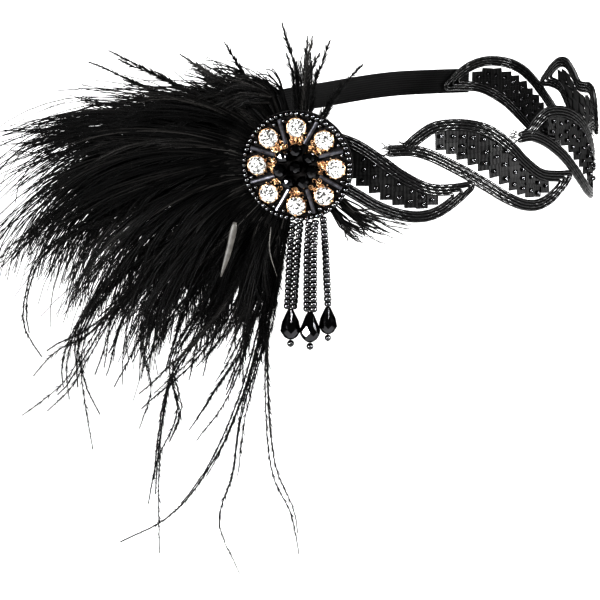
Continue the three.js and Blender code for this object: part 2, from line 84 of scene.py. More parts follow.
def placed(shape, matrices):  # a copy of the shape at each matrix: points, loops, face sizes, smoothness
    shape.verts.index_update()
    points = np.array([v.co for v in shape.verts])
    loops = np.concatenate([[v.index for v in f.verts] for f in shape.faces])
    lengths = np.array([len(f.verts) for f in shape.faces])
    smooth = np.array([f.smooth for f in shape.faces])
    shape.free()
    matrices = np.array([np.array(m) for m in matrices])
    moved = np.einsum("nij,pj->npi", matrices[:, :3, :3], points) + matrices[:, None, :3, 3]
    count = len(matrices)
    allLoops = (loops[None, :] + (np.arange(count) * len(points))[:, None]).ravel()
    return moved.reshape(-1, 3), allLoops, np.tile(lengths, count), np.tile(smooth, count)


def joinArrays(parts):
    points, loops, lengths, smooth = zip(*parts)
    starts = np.cumsum([0] + [len(p) for p in points])
    loops = [part + start for part, start in zip(loops, starts)]
    return [np.concatenate(a) for a in (points, loops, lengths, smooth)]


def meshOf(name, arrays, share=None):
    points, loops, lengths, smooth = arrays
    mesh = bpy.data.meshes.new(name)
    mesh.vertices.add(len(points))
    mesh.vertices.foreach_set("co", np.ascontiguousarray(points, np.float32).ravel())
    mesh.loops.add(len(loops))
    mesh.loops.foreach_set("vertex_index", loops.astype(np.int32))
    mesh.polygons.add(len(lengths))
    starts = np.concatenate([[0], np.cumsum(lengths)[:-1]])
    mesh.polygons.foreach_set("loop_start", starts.astype(np.int32))
    mesh.update(calc_edges=True)
    mesh.polygons.foreach_set("use_smooth", smooth.astype(bool))
    if share is not None:
        layer = mesh.uv_layers.new(name="along")
        layer.data.foreach_set("uv", share[loops].astype(np.float32).ravel())
    mesh.validate()
    return mesh


def smoothAll(shape):
    for face in shape.faces:
        face.smooth = True
    return shape


def spun(outline, sides, closed, mergeWithin):  # (radius, height) pairs turned round the z axis
    shape = bmesh.new()
    ring = [shape.verts.new((x, 0, z)) for x, z in outline]
    ends = ring[1:] + ring[:1] if closed else ring[1:]
    edges = [shape.edges.new(pair) for pair in zip(ring, ends)]
    bmesh.ops.spin(shape, geom=ring + edges, cent=(0, 0, 0), axis=(0, 0, 1), angle=fullTurn,
                   steps=sides, use_merge=True, use_duplicate=False)
    bmesh.ops.remove_doubles(shape, verts=shape.verts[:], dist=mergeWithin)
    holes = [e for e in shape.edges if len(e.link_faces) == 1]
    if holes:
        bmesh.ops.holes_fill(shape, edges=holes, sides=64)
    bmesh.ops.recalc_face_normals(shape, faces=shape.faces[:])
    return smoothAll(shape)


def tubes(paths, radii, sides, flatten=1.0, facing=(0, -1, 0), lobes=0, depth=0.0, turns=None):
    paths = np.asarray(paths, float)  # one tube for each path, with one ring of points at each place
    count, rows = paths.shape[:2]
    ahead = np.gradient(paths, axis=1)
    ahead /= np.linalg.norm(ahead, axis=2, keepdims=True) + 1e-12
    across = np.cross(ahead, np.broadcast_to(np.asarray(facing, float), ahead.shape))
    across /= np.linalg.norm(across, axis=2, keepdims=True) + 1e-12
    outward = np.cross(across, ahead)
    angle = np.arange(sides) * fullTurn / sides
    size = np.ones((count, rows, sides))
    if lobes:
        size = 1 + depth * np.cos(lobes * (angle[None, None, :] - turns[:, :, None] * fullTurn / lobes))
    radii = np.broadcast_to(radii, (count, rows))
    ring = (across[:, :, None, :] * np.cos(angle)[None, None, :, None]
            + outward[:, :, None, :] * (np.sin(angle) * flatten)[None, None, :, None])
    points = paths[:, :, None, :] + ring * (radii[:, :, None] * size)[..., None]
    base = (np.arange(count) * rows * sides)[:, None, None]
    row = (np.arange(rows - 1) * sides)[None, :, None]
    side = np.arange(sides)[None, None, :]
    nextSide = (side + 1) % sides
    quads = np.stack([base + row + side, base + row + nextSide,
                      base + row + sides + nextSide, base + row + sides + side], -1).reshape(-1)
    lengths = np.full(len(quads) // 4, 4)
    first = (base[:, 0, :] + np.arange(sides)[::-1][None, :]).reshape(-1)
    last = (base[:, 0, :] + (rows - 1) * sides + np.arange(sides)[None, :]).reshape(-1)
    loops = np.concatenate([quads, first, last])
    lengths = np.concatenate([lengths, np.full(2 * count, sides)])
    along, which = np.linspace(0, 1, rows)[None, :, None], np.arange(count)[:, None, None] / count
    share = np.stack(np.broadcast_arrays(along, which, size)[:2], -1).reshape(-1, 2)
    return (points.reshape(-1, 3), loops, lengths, np.ones(len(lengths), bool)), share


# The loop in plan: shares of half its width, half its depth and the trim's height
band = {
    "width": 152, "depth": 180, "height": 43,
    "plan": [
        (-0.63, -0.85, -0.03), (-0.13, -0.90, 0.02), (0.16, -0.81, 0), (0.53, -0.66, 0.05),
        (0.98, -0.17, -0.07), (0.89, 0.59, 0.12), (0.56, 0.96, -0.03), (-0.02, 0.72, 0.03),
        (-0.61, 0.45, -0.02), (-0.81, 0.17, 0), (-0.95, -0.12, -0.02), (-0.90, -0.76, -0.04),
    ],
    "samples": 100,
}


def span(a, b, leave, arrive, samples):
    t = np.arange(samples)[:, None] / samples
    return (a + leave * t + (-3 * a + 3 * b - 2 * leave - arrive) * t ** 2
            + (2 * a - 2 * b + leave + arrive) * t ** 3)


def closedPath(points, samples):
    p = np.array(points, float)
    n = len(p)
    return np.vstack([span(p[i], p[(i + 1) % n], (p[(i + 1) % n] - p[i - 1]) / 2,
                           (p[(i + 2) % n] - p[i]) / 2, samples) for i in range(n)])


def openPath(points, samples):
    p = np.array(points, float)
    p = np.vstack([2 * p[0] - p[1], p, 2 * p[-1] - p[-2]])
    rows = []
    for i in range(1, len(p) - 2):
        a, b, c, d = p[i - 1:i + 3]
        d0, d1, d2 = [np.sum((v - u) ** 2) ** 0.25 for u, v in ((a, b), (b, c), (c, d))]
        leave = ((b - a) / d0 - (c - a) / (d0 + d1) + (c - b) / d1) * d1
        arrive = ((c - b) / d1 - (d - b) / (d1 + d2) + (d - c) / d2) * d1
        rows.append(span(b, c, leave, arrive, samples))
    return np.vstack(rows + [p[-2][None]])


def runAlong(path):  # the length from the start to each of its points
    return np.concatenate([[0], np.cumsum(np.linalg.norm(np.diff(path, axis=0), axis=1))])


def evenly(path, step):
    run = runAlong(path)
    count = max(int(round(run[-1] / step)), 2)
    spots = np.linspace(0, run[-1], count + 1)
    return np.stack([np.interp(spots, run, path[:, k]) for k in range(path.shape[1])], -1)


loopPoints = closedPath([(s * band["width"] / 2, d * band["depth"] / 2, r * band["height"])
                         for s, d, r in band["plan"]], band["samples"])
loopPoints = np.vstack([loopPoints, loopPoints[:1]])
loopRun = runAlong(loopPoints)
loopLength = loopRun[-1]


def loopPlace(along):
    run = np.mod(along, loopLength)
    return np.stack([np.interp(run, loopRun, loopPoints[:, k]) for k in range(3)], -1)


def loopAhead(along):
    return loopPlace(along + 0.5) - loopPlace(along - 0.5)


def bend(flat):  # mm along, up and out from the trim's middle become metres
    flat = np.asarray(flat, float)
    shape = flat.shape
    flat = flat.reshape(-1, 3)
    here = loopPlace(flat[:, 0])
    ahead = loopAhead(flat[:, 0])
    size = np.hypot(ahead[:, 0], ahead[:, 1])
    here[:, 0] += ahead[:, 1] / size * flat[:, 2]
    here[:, 1] -= ahead[:, 0] / size * flat[:, 2]
    here[:, 2] += flat[:, 1]
    return (here * mm).reshape(shape)


def loopAngle(along):
    ahead = loopAhead(np.array([along]))
    return math.atan2(ahead[0, 1], ahead[0, 0])


print("loop length", round(float(loopLength), 1), "mm")


def rgba(color):  # a single number is a grey
    return (*(color if isinstance(color, tuple) else (color,) * 3), 1)


def newMaterial(name, color, roughness, metallic=0.0, **sockets):
    material = bpy.data.materials.new(name)
    material.use_nodes = True
    tree = material.node_tree
    shader = tree.nodes["Principled BSDF"]
    shader.inputs["Base Color"].default_value = rgba(color)
    shader.inputs["Roughness"].default_value = roughness
    shader.inputs["Metallic"].default_value = metallic
    for label, value in sockets.items():
        shader.inputs[label.replace("_", " ")].default_value = value
    return material, tree, shader


def addNode(tree, kind, values=(), **options):
    node = tree.nodes.new(kind)
    for label, value in options.items():
        setattr(node, label, value)
    for label, value in dict(values).items():
        node.inputs[label].default_value = value
    return node


def rampTo(tree, source, shader, stops, socket="Base Color"):
    ramp = tree.nodes.new("ShaderNodeValToRGB")
    points = ramp.color_ramp.elements
    while len(points) < len(stops):
        points.new(0.5)
    for point, (spot, color) in zip(points, stops):
        point.position = spot
        point.color = rgba(color)
    tree.links.new(source, ramp.inputs["Fac"])
    tree.links.new(ramp.outputs["Color"], shader.inputs[socket])


def addBump(tree, shader, height, strength, distance):
    bump = addNode(tree, "ShaderNodeBump", {"Strength": strength, "Distance": distance})
    tree.links.new(height, bump.inputs["Height"])
    tree.links.new(bump.outputs["Normal"], shader.inputs["Normal"])


def objectTexture(tree, kind, values):
    place = tree.nodes.new("ShaderNodeTexCoord")
    texture = addNode(tree, kind, values)
    tree.links.new(place.outputs["Object"], texture.inputs["Vector"])
    return texture.outputs


def objectNoise(tree, scale, detail=3.0):
    return objectTexture(tree, "ShaderNodeTexNoise", {"Scale": scale, "Detail": detail})["Fac"]


def uvWave(tree, scale, direction):
    uv = addNode(tree, "ShaderNodeUVMap", uv_map="along")
    wave = addNode(tree, "ShaderNodeTexWave", {"Scale": scale}, bands_direction=direction)
    tree.links.new(uv.outputs["UV"], wave.inputs["Vector"])
    return wave.outputs["Fac"]


def noiseRampMaterial(name, color, roughness, scale, stops, detail=3.0, bump=None, **sockets):
    material, tree, shader = newMaterial(name, color, roughness, **sockets)
    noise = objectNoise(tree, scale, detail)
    rampTo(tree, noise, shader, stops)
    if bump:
        addBump(tree, shader, noise, *bump)
    return material


def satinFinish():
    material, tree, shader = newMaterial("satinCord", 0.002, 0.24, Specular_IOR_Level=0.3)
    mottle = objectNoise(tree, 900)
    rampTo(tree, mottle, shader, [(0.3, 0.001), (0.75, 0.005)])
    rampTo(tree, mottle, shader, [(0.3, 0.17), (0.75, 0.28)], "Roughness")
    addBump(tree, shader, objectNoise(tree, 2600, 2), strength=0.08, distance=0.0001)
    return material


def sequinFinish():
    material, tree, shader = newMaterial("sequinCharcoal", 0.002, 0.5, Specular_IOR_Level=0.08)
    ribs = uvWave(tree, 1.0, "X")
    rampTo(tree, ribs, shader, [(0.15, 0.0007), (0.85, 0.0045)])
    addBump(tree, shader, ribs, strength=0.3, distance=0.00015)
    return material


def glassFinish(name, color, roughness):
    material, tree, shader = newMaterial(name, color, roughness, 1.0, Specular_Tint=rgba(0.01))
    wear = objectNoise(tree, 420)
    rampTo(tree, wear, shader, [(0.35, roughness * 0.6), (0.7, roughness * 1.8)], "Roughness")
    return material


def crystalWithPaintedGlints():
    material, tree, shader = newMaterial("crystal", (0.9, 0.92, 0.95), 0.06, 0.45,
                                         Specular_IOR_Level=0.9, Coat_Weight=0.6, Coat_Roughness=0.03)
    cells = objectTexture(tree, "ShaderNodeTexVoronoi", {"Scale": 1700, "Randomness": 1.0})
    sparkle = addNode(tree, "ShaderNodeSeparateColor")
    tree.links.new(cells["Color"], sparkle.inputs["Color"])
    # painted reflections: each facet cell gets a random grey, near black to near white, for facets catching
    # the light
    rampTo(tree, sparkle.outputs["Red"], shader,
           [(0.0, 0.02), (0.26, 0.07), (0.45, (0.34, 0.34, 0.33)), (0.75, (0.8, 0.8, 0.77))])
    addBump(tree, shader, sparkle.outputs["Green"], strength=0.9, distance=0.0005)
    return material


def elasticFinish():
    material, tree, shader = newMaterial("blackElastic", 0.002, 0.5, Specular_IOR_Level=0.04)
    weave = addNode(tree, "ShaderNodeMath", operation="MULTIPLY")
    tree.links.new(uvWave(tree, 5.4, "Y"), weave.inputs[0])
    tree.links.new(uvWave(tree, 1.0, "X"), weave.inputs[1])
    rampTo(tree, weave.outputs["Value"], shader, [(0.1, 0.0008), (0.8, 0.006)])
    addBump(tree, shader, weave.outputs["Value"], strength=0.7, distance=0.00015)
    return material


def ostrichWithPaintedSheen():  # the map holds the share along each herl, and its tone: random darker and lighter herls, the lighter ones painted sheen streaks
    material, tree, shader = newMaterial("ostrich", 0.002, 0.42, Specular_IOR_Level=0.06)
    place = addNode(tree, "ShaderNodeUVMap", uv_map="along")
    parts = addNode(tree, "ShaderNodeSeparateXYZ")
    tree.links.new(place.outputs["UV"], parts.inputs["Vector"])
    rampTo(tree, parts.outputs["Y"], shader, [
        (0.0, 0.0005), (0.55, 0.0015), (0.78, (0.006, 0.0057, 0.0054)), (0.95, (0.02, 0.019, 0.018))])
    rampTo(tree, parts.outputs["X"], shader, [(0.15, 0.008), (0.6, 0.07)], "Specular IOR Level")
    return material


satin = satinFinish()
charcoal = sequinFinish()
jet = glassFinish("jetGlass", (0.07, 0.07, 0.073), 0.05)
hematite = noiseRampMaterial("hematite", (0.13, 0.13, 0.14), 0.3, 500,
                       [(0.3, (0.016, 0.016, 0.019)), (0.75, (0.13, 0.13, 0.15))], metallic=0.8)
crystal = crystalWithPaintedGlints()
# gold settings: noise mixes dark painted shade, gold, and pale painted highlights in random patches
gold = noiseRampMaterial("goldSetting", (0.85, 0.56, 0.27), 0.28, 700,
                   [(0.38, (0.12, 0.05, 0.025)), (0.54, (0.66, 0.4, 0.2)), (0.7, (1.0, 0.8, 0.58))],
                   metallic=0.9)
felt = noiseRampMaterial("blackFelt", 0.003, 0.95, 1800, [(0.3, 0.001), (0.7, (0.007, 0.006, 0.006))],
                   detail=4, bump=(0.8, 0.0004), Specular_IOR_Level=0.1)
webbing = elasticFinish()
ostrich = ostrichWithPaintedSheen()
quillHorn = noiseRampMaterial("quillHorn", (0.16, 0.15, 0.14), 0.5, 380,
                        [(0.3, (0.012, 0.011, 0.01)), (0.7, (0.05, 0.047, 0.042))], Specular_IOR_Level=0.4)
print("finishes made")

# A leaf's two bundles, as shares of its length and of half its height; the fourth is arched over the bend
leaf = {
    "length": 92, "pitch": 55.2, "start": -21, "bundleWidth": 4.6, "bundleThickness": 1.8,
    "upper": [(0.076, 0.57), (0.125, 0.76), (0.20, 0.96), (0.33, 0.97), (0.45, 0.76), (0.56, 0.36),
              (0.66, -0.05), (0.77, -0.34), (0.88, -0.40), (0.975, -0.40)],
    "lower": [(0, 0.52), (0.10, 0.49), (0.20, 0.35), (0.33, 0.03), (0.45, -0.38), (0.56, -0.75),
              (0.66, -0.96), (0.75, -1), (0.84, -0.87), (0.92, -0.62), (0.975, -0.40)],
    "bendUpper": [(0.076, 0.57), (0.125, 0.76), (0.20, 0.96), (0.33, 1), (0.44, 0.86), (0.53, 0.76),
                  (0.62, 0.88), (0.72, 1), (0.81, 0.93), (0.88, 0.76), (0.94, 0.54), (0.975, 0.40)],
    "bendLower": [(0, 0.52), (0.10, 0.49), (0.20, 0.35), (0.33, 0.03), (0.42, -0.25), (0.49, -0.39),
                  (0.56, -0.34), (0.66, 0.05), (0.77, 0.34), (0.88, 0.40), (0.975, 0.40)],
    "tall": [0.88, 1, 1, 1, 1], "bend": 3, "turned": 4,
}
cord = {"perBundle": 4, "width": 1.16, "thickness": 1.62, "step": 0.62, "sides": 9, "lobeDepth": 0.004,
        "lay": 4.6, "lift": 0.9, "liftRun": 11, "wave": 0.06, "hairpin": 0.62, "tipTurn": 0.28,
        "threads": 3, "threadRadius": 0.17, "seed": 3}


def bundleLines(number):
    names = ("bendUpper", "bendLower") if number == leaf["bend"] else ("upper", "lower")
    rise = leaf["tall"][number] * (band["height"] - leaf["bundleWidth"]) / 2
    return [openPath([(a * leaf["length"], u * rise) for a, u in leaf[n]], 40) for n in names]


def offsetLine(line, shift):
    ahead = np.gradient(line, axis=0)
    ahead /= np.linalg.norm(ahead, axis=1, keepdims=True)
    return line + np.stack([-ahead[:, 1], ahead[:, 0]], -1) * shift


def crossing(top, bottom):  # how far the top line stays above the bottom one
    reach = min(top[-1, 0], bottom[-1, 0])
    spots = np.linspace(top[0, 0] + (reach - top[0, 0]) * 0.6, reach, 200)
    gap = np.interp(spots, top[:, 0], top[:, 1]) - np.interp(spots, bottom[:, 0], bottom[:, 1])
    under = np.nonzero(gap < 0.9)[0]
    return spots[under[0]] if len(under) else reach


def cordRoute(upper, lower, shift):  # along the upper bundle, round the tip and back along the lower one
    top, bottom = offsetLine(upper, shift), offsetLine(lower, -shift)
    if shift > 0:
        turn = np.linspace(math.pi / 2, -math.pi * cord["tipTurn"], 9)[1:-1]
        arc = upper[-1] + shift * np.stack([np.cos(turn), np.sin(turn)], -1)
        return np.vstack([top, arc, bottom[::-1]])
    cut = crossing(top, bottom)
    top, bottom = top[top[:, 0] < cut - 0.5], bottom[bottom[:, 0] < cut - 0.9]
    nose = (top[-1] + bottom[-1]) / 2 + np.array([0.55, 0])
    return np.vstack([top, nose[None], bottom[::-1]])


def soften(path, passes):
    for _ in range(passes):
        path[1:-1] = path[1:-1] * 0.5 + (path[:-2] + path[2:]) * 0.25
    return path


def onTrim(number, flat):  # places on one leaf become places along the trim
    if number == leaf["turned"]:
        flat[..., 1:] *= -1
    flat[..., 0] += leaf["start"] + number * leaf["pitch"]
    return flat


def looseThreads(number, ends, dice):
    t = np.linspace(0, 1, 6)[:, None]
    threads = []
    for end in ends:
        for _ in range(cord["threads"]):
            start = np.array([end[0] + 0.6, end[1], dice.uniform(-0.4, 0.4)])
            way = np.array([-dice.uniform(1.5, 5), dice.uniform(-1.6, 1.6), dice.uniform(-0.4, 1.0)])
            curl = np.array([dice.uniform(0, 1), dice.uniform(-1.4, 1.4), dice.uniform(-0.5, 0.8)])
            threads.append(start + way * t + curl * t ** 2)
    return tubes(bend(onTrim(number, np.array(threads))), cord["threadRadius"] * mm, 4)


def makeCords(number, dice):
    upper, lower = bundleLines(number)
    pitch = leaf["bundleWidth"] / cord["perBundle"]
    shifts = [(i - (cord["perBundle"] - 1) / 2) * pitch for i in range(cord["perBundle"])]
    routes = [cordRoute(upper, lower, shift) for shift in shifts]
    loops = []
    for inner, outer in ((routes[0], routes[1]), (routes[2], routes[3])):
        ends = []
        for a, b in ((inner[-1], outer[-1]), (outer[0], inner[0])):  # hairpins at the open ends
            middle, back = (a + b) / 2, np.array([-pitch * cord["hairpin"], 0.0])
            near, far = [(end + middle) / 2 + back * 0.85 for end in (a, b)]
            ends.append(np.array([near, middle + back, far]))
        path = np.vstack([inner, ends[0], outer[::-1], ends[1], inner[:1]])
        loops.append(soften(evenly(path, cord["step"]), 2))
    parts = []
    for path in loops:
        run = runAlong(path)
        fromStart = np.minimum(path[:, 0] - upper[0, 0], cord["liftRun"])
        onTop = np.interp(path[:, 0], upper[:, 0], upper[:, 1]) - path[:, 1]
        raised = (onTop < leaf["bundleWidth"]) * (path[:, 0] < upper[0, 0] + cord["liftRun"])
        lift = np.where(raised, cord["lift"] * (1 - fromStart / cord["liftRun"]) ** 2, 0)
        lift = soften(lift[:, None].copy(), 8)[:, 0]
        for pace in (0.55, 1.7):
            lift = lift + cord["wave"] * np.sin(run * pace + dice.uniform(0, 6))
        flat = onTrim(number, np.column_stack([path, lift]))
        place = bend(flat)
        facing = (bend(flat + np.array([0, 0, 1.0])) - place) / mm
        turns = (run / cord["lay"])[None]
        parts.append(tubes(place[None], cord["width"] / 2 * mm * 1.04, cord["sides"],
                           cord["thickness"] / cord["width"], facing[None], 3, cord["lobeDepth"], turns))
    parts.append(looseThreads(number, [route[i] for route in routes for i in (0, -1)], dice))
    arrays = joinArrays([p[0] for p in parts])
    share = np.concatenate([p[1] for p in parts])
    newPiece(f"lace_cords_{number + 1}", meshOf("laceCords", arrays, share), satin,
             [f"lace_leaf_{number + 1}"])


sequin = {"width": 4.7, "first": 0.21, "last": 0.84, "gap": 0.5, "clearance": 0.3, "height": 4.5,
          "thickness": 0.42, "overlap": (0.45, 0.3), "tilt": 5, "loose": 4,
          "beadRadius": 0.92, "beadLength": 1.2}


def edgeOf(line, spot, side):
    before, y, after = [np.interp(spot + shift, line[:, 0], line[:, 1]) for shift in (-0.2, 0, 0.2)]
    slope = (after - before) / 0.4
    return y + side * (math.hypot(1, slope) * leaf["bundleWidth"] / 2 + sequin["clearance"])


def seedBead(radius, length, sides=8):
    bore, shoulder = radius * 0.34, length * 0.5
    turns = np.radians(np.linspace(-90, 90, 7))[1:-1]
    outline = [(bore + (radius - bore) * math.cos(turn) ** 0.75, shoulder * math.sin(turn)) for turn in turns]
    return spun([(bore, -shoulder * 0.9), *outline, (bore, shoulder * 0.9)], sides, True, 1e-6)


def sequinPlate():
    shape = bmesh.new()
    bmesh.ops.create_cube(shape, size=1)
    bmesh.ops.bevel(shape, geom=shape.edges[:], offset=0.05, offset_type="OFFSET", segments=1, profile=0.5,
                    affect="EDGES", material=-1)
    return shape


def spot(x, y, z, turnZ=0.0, turnX=0.0, turnY=0.0, size=1.0):
    return (Matrix.Translation((x, y, z)) @ Matrix.Rotation(turnZ, 4, "Z") @ Matrix.Rotation(turnX, 4, "X")
            @ Matrix.Rotation(turnY, 4, "Y") @ Matrix.Diagonal((*np.broadcast_to(size, 3), 1)))


def makeSequins(number, dice):
    upper, lower = bundleLines(number)
    hangs = number != leaf["bend"]
    count = int((sequin["last"] - sequin["first"]) * leaf["length"] / sequin["width"])
    plates, beads = [], []
    for column in range(count):
        left = sequin["first"] * leaf["length"] + column * sequin["width"]
        right, middle = left + sequin["width"], left + sequin["width"] / 2
        tops = [edgeOf(upper, x, -1) for x in (left, right)]
        bottoms = [edgeOf(lower, x, 1) for x in (left, right)]
        if hangs:
            top, bottom = max(tops) + 0.3, max(bottoms) + sequin["gap"]
        else:
            top, bottom = min(tops) - sequin["gap"], min(bottoms) - 0.3
        rows = max(int(round((top - bottom) / sequin["height"])), 1)
        pitch = (top - bottom) / rows
        for row in range(rows):
            y = top - (row + 0.5) * pitch + dice.uniform(-0.15, 0.15)
            x = middle + dice.uniform(-0.2, 0.2)
            tilt = math.radians(-sequin["tilt"] + dice.uniform(-sequin["loose"], sequin["loose"]))
            turn = math.radians(dice.uniform(-sequin["loose"], sequin["loose"]))
            size = (sequin["width"] + sequin["overlap"][0], pitch + sequin["overlap"][1], sequin["thickness"])
            plates.append(spot(x, y, 0.34 * (column % 2) - 0.2, turn, tilt, 0, size))
            beads.append(spot(x + dice.uniform(-0.5, 0.5), y + dice.uniform(-0.6, 0.4), 0.75,
                              dice.uniform(0, 3), math.radians(dice.choice((0, 90, 70)))))
    parts, share = [], []
    seed = seedBead(sequin["beadRadius"], sequin["beadLength"], 9)
    for shape, matrices in ((sequinPlate(), plates), (seed, beads)):
        corners = np.array([v.co for v in shape.verts])
        points, *faces = placed(shape, matrices)
        parts.append([bend(onTrim(number, points)), *faces])
        share.append(np.tile(corners[:, :2], (len(matrices), 1)))
    nodes = [f"lace_fill_{number + 1}"]
    newPiece(f"lace_sequins_{number + 1}", meshOf("sequins", parts[0], share[0]), charcoal, nodes)
    newPiece(f"sequin_beads_{number + 1}", meshOf("sequinBeads", parts[1]), jet, nodes)


trimDice = random.Random(cord["seed"])
for leafNumber in range(5):
    makeCords(leafNumber, trimDice)
    makeSequins(leafNumber, trimDice)
print("trim made")

elastic = {"width": 11.2, "thickness": 0.9, "solidThickness": 1, "lift": 9.7, "lap": 15, "clearance": 0.3,
           "segments": 300, "ribs": 11, "ribHeight": 0.1, "edgeThinning": 0.25, "ripple": 0.12, "weave": 1.1}


def makeElastic():
    trimEnd = leaf["start"] + 4 * leaf["pitch"] + leaf["length"]
    start, end = trimEnd - elastic["lap"], loopLength + elastic["lap"]
    standOff = (leaf["bundleThickness"] + elastic["solidThickness"]) / 2 + elastic["clearance"]
    shape = bmesh.new()
    bmesh.ops.create_grid(shape, x_segments=elastic["segments"], y_segments=elastic["ribs"] * 4, size=0.5)
    bmesh.ops.solidify(shape, geom=shape.faces[:], thickness=0.001)
    bmesh.ops.recalc_face_normals(shape, faces=shape.faces[:])
    mesh = bpy.data.meshes.new("elastic")
    shape.to_mesh(mesh)
    shape.free()
    flat = np.zeros(len(mesh.vertices) * 3, np.float32)
    mesh.vertices.foreach_get("co", flat)
    flat = flat.reshape(-1, 3).astype(float)
    along, up, front = flat[:, 0] + 0.5, flat[:, 1], np.abs(flat[:, 2]) < 0.0005
    x = start + along * (end - start)
    free = np.clip((x - trimEnd) / (loopLength + leaf["start"] - trimEnd), 0, 1)
    rib = np.abs(np.sin((up + 0.5) * math.pi * elastic["ribs"])) * elastic["ribHeight"]
    half = elastic["thickness"] / 2 - np.where(np.abs(up) > 0.49, elastic["edgeThinning"], 0)
    z = np.where(front, half + rib, -half - rib) + standOff * (1 - 2 * free)
    y = elastic["lift"] + up * elastic["width"] + elastic["ripple"] * np.sin(x * 0.12)
    mesh.vertices.foreach_set("co", bend(np.column_stack([x, y, z])).astype(np.float32).ravel())
    layer = mesh.uv_layers.new(name="along")
    index = np.zeros(len(mesh.loops), np.int32)
    mesh.loops.foreach_get("vertex_index", index)
    share = np.column_stack([x / elastic["weave"], up * elastic["ribs"] / 5.4 * 0.31])
    layer.data.foreach_set("uv", share[index].astype(np.float32).ravel())
    mesh.polygons.foreach_set("use_smooth", np.ones(len(mesh.polygons), bool))
    fix = bmesh.new()
    fix.from_mesh(mesh)
    bmesh.ops.recalc_face_normals(fix, faces=fix.faces[:])
    fix.to_mesh(mesh)
    fix.free()
    newPiece("elastic_webbing", mesh, webbing, ["elastic_band"])


makeElastic()
print("elastic made")

brooch = {
    "diameter": 43.4, "lift": 6.3, "backing": 1.5, "rootThickness": 2.8, "clearance": 0.3,
    "rim": 2.0, "rimRadius": 1.12, "rimBeads": 64, "stones": 8, "setting": 8, "settingHeight": 2,
    "stone": 7.4, "stoneHeight": 1.6, "claws": [(0.86, 0.5), (0.99, 2.0), (0.84, 2.75)], "clawCount": 6,
    "wire": 0.34, "grain": 0.48, "curlWire": 0.15, "curls": (22, 20, 20, 9, 16, 7, 14, 18),
    "curlRing": (8.6, 11.7), "bugleRadius": 0.85, "bead": 5.4, "ringCount": 7, "seed": 21,
}
broochRadius = brooch["diameter"] / 2
broochAngle = loopAngle(0)
broochPlace = Vector(bend([[0, brooch["lift"], 0]])[0])
broochFrame = Matrix.Translation(broochPlace) @ Matrix.Rotation(broochAngle, 4, "Z") @ Matrix.Rotation(
    math.pi / 2, 4, "X")


def loopBulge():
    spots = broochRadius * (2 * np.arange(25) / 24 - 1)
    behind = bend(np.column_stack([spots, np.full(25, brooch["lift"]), np.zeros(25)]))
    away = (behind - np.array(broochPlace)) / mm
    return float(np.max(away[:, 0] * math.sin(broochAngle) - away[:, 1] * math.cos(broochAngle)).clip(0))


rootBack = loopBulge() + leaf["bundleThickness"] / 2 + brooch["clearance"]
backingBack = rootBack + brooch["rootThickness"] + brooch["clearance"]
broochFace = backingBack + brooch["backing"] + brooch["clearance"]
rimInside = broochRadius - brooch["rim"] - brooch["clearance"]
stoneRing = rimInside - brooch["setting"] / 2
stoneTurn = fullTurn / brooch["stones"]
centreRing = (brooch["bead"] + brooch["clearance"]) / (2 * math.sin(math.pi / brooch["ringCount"]))
bugleStart = centreRing + brooch["bead"] / 2 + brooch["clearance"]
print("brooch plane", round(rootBack, 2), round(backingBack, 2), round(broochFace, 2))


def onBrooch(points):  # mm right, up and out from the brooch's middle become metres
    return points @ np.array(broochFrame.to_3x3()).T * mm + np.array(broochPlace)


def broochPiece(name, arrays, material, nodes, share=None):
    points, *faces = arrays
    newPiece(name, meshOf(name, [onBrooch(points), *faces], share), material, nodes)


def onRing(radius, turn):
    return radius * math.sin(turn), radius * math.cos(turn)


def makeBacking():
    shape = bmesh.new()
    bmesh.ops.create_cone(shape, cap_ends=True, segments=96, radius1=broochRadius, radius2=broochRadius,
                          depth=brooch["backing"])
    rims = [e for e in shape.edges if len(e.link_faces) == 2 and any(len(f.verts) > 4 for f in e.link_faces)]
    bmesh.ops.bevel(shape, geom=rims, offset=0.3, offset_type="OFFSET", segments=3, profile=0.5,
                    affect="EDGES", material=-1)
    for vertex in shape.verts:
        vertex.co.z += backingBack + brooch["backing"] / 2
    disc = placed(smoothAll(shape), [Matrix.Identity(4)])
    broochPiece("brooch_felt", disc, felt, ["brooch_backing"])


def makeRim(dice):
    ring = broochRadius - brooch["rim"] / 2
    places = []
    for i in range(brooch["rimBeads"]):
        turn = (i + dice.uniform(-0.12, 0.12)) * fullTurn / brooch["rimBeads"]
        x, y = onRing(ring + dice.uniform(-0.12, 0.12), turn)
        places.append(spot(x, y, broochFace + 1.0 + dice.uniform(-0.1, 0.1), -turn,
                           math.radians(dice.uniform(-20, 20)), math.radians(90 + dice.uniform(-15, 15)),
                           dice.uniform(0.92, 1.05)))
    for i in range(brooch["stones"]):  # pairs of beads between the stones, by the bugles' outer ends
        for side in (-1, 1):
            turn = (i + 0.5) * stoneTurn + side * math.radians(6.4)
            x, y = onRing(rimInside - 0.9 + dice.uniform(-0.15, 0.1), turn)
            places.append(spot(x, y, broochFace + 0.8, -turn, 0, math.radians(90), 0.9))
    bead = seedBead(brooch["rimRadius"], 1.75, 12)
    broochPiece("rim_beads", placed(bead, places), jet, ["brooch_rim"])


def cutShape(rows, radius, height, flatWithin):  # rows: share across, share up, corners, turn
    shape = bmesh.new()
    for across, up, sides, offset in rows:
        for i in range(sides):
            turn = (i + offset) * fullTurn / sides
            shape.verts.new((across * radius * math.cos(turn), across * radius * math.sin(turn), up * height))
    bmesh.ops.convex_hull(shape, input=shape.verts[:])
    bmesh.ops.dissolve_limit(shape, angle_limit=math.radians(flatWithin), verts=shape.verts[:],
                             edges=shape.edges[:])
    return shape


